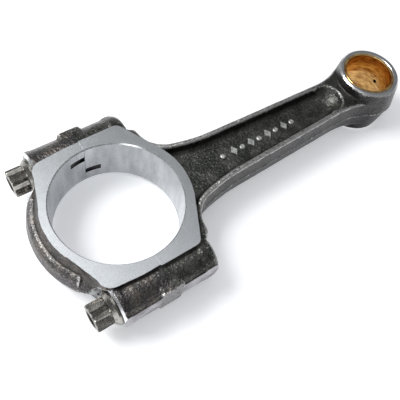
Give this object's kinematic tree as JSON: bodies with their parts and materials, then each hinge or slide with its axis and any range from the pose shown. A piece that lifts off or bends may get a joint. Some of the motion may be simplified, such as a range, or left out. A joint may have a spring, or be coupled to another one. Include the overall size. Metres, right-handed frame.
{
  "type": "connecting rod",
  "caption": "Forged I-beam engine connecting rod: split big end with a screwed cap on hollow dowels, and a small-end eye with a bronze pin bush.",
  "frame": {"origin": "centre of the big-end bore at half its width", "axes": "+X towards the small end, +Z along both bores, +Y towards the side with the bearing tang notches"},
  "size_m": [0.2161, 0.0914, 0.0294],
  "materials": {
    "forged_rod": "as forged and shot-peened, dark grey, with bright machined ends",
    "forged_cap": "as forged and shot-peened, warm grey, with bright machined faces",
    "bush_bronze": "honed bronze",
    "screw_steel": "satin heat-treated steel",
    "dowel_steel": "ground steel"
  },
  "bodies": {
    "rod": {"rod_body": "forged_rod", "pin_bushing": "bush_bronze", "dowel_upper": "dowel_steel", "dowel_lower": "dowel_steel"},
    "cap": {"rod_cap": "forged_cap"},
    "bolt_upper": {"cap_bolt_upper": "screw_steel"},
    "bolt_lower": {"cap_bolt_lower": "screw_steel"}
  },
  "joints": [
    {"name": "cap_release", "type": "slide", "parent": "rod", "child": "cap", "axis": [-1, 0, 0], "range_m": [0, 0.0163]},
    {"name": "bolt_upper_turn", "type": "hinge", "parent": "cap", "child": "bolt_upper", "pos_m": [-0.0232, 0.0365, 0], "axis": [-1, 0, 0], "range_deg": [0, 4620]},
    {"name": "bolt_lower_turn", "type": "hinge", "parent": "cap", "child": "bolt_lower", "pos_m": [-0.0232, -0.0365, 0], "axis": [-1, 0, 0], "range_deg": [0, 4620]}
  ]
}
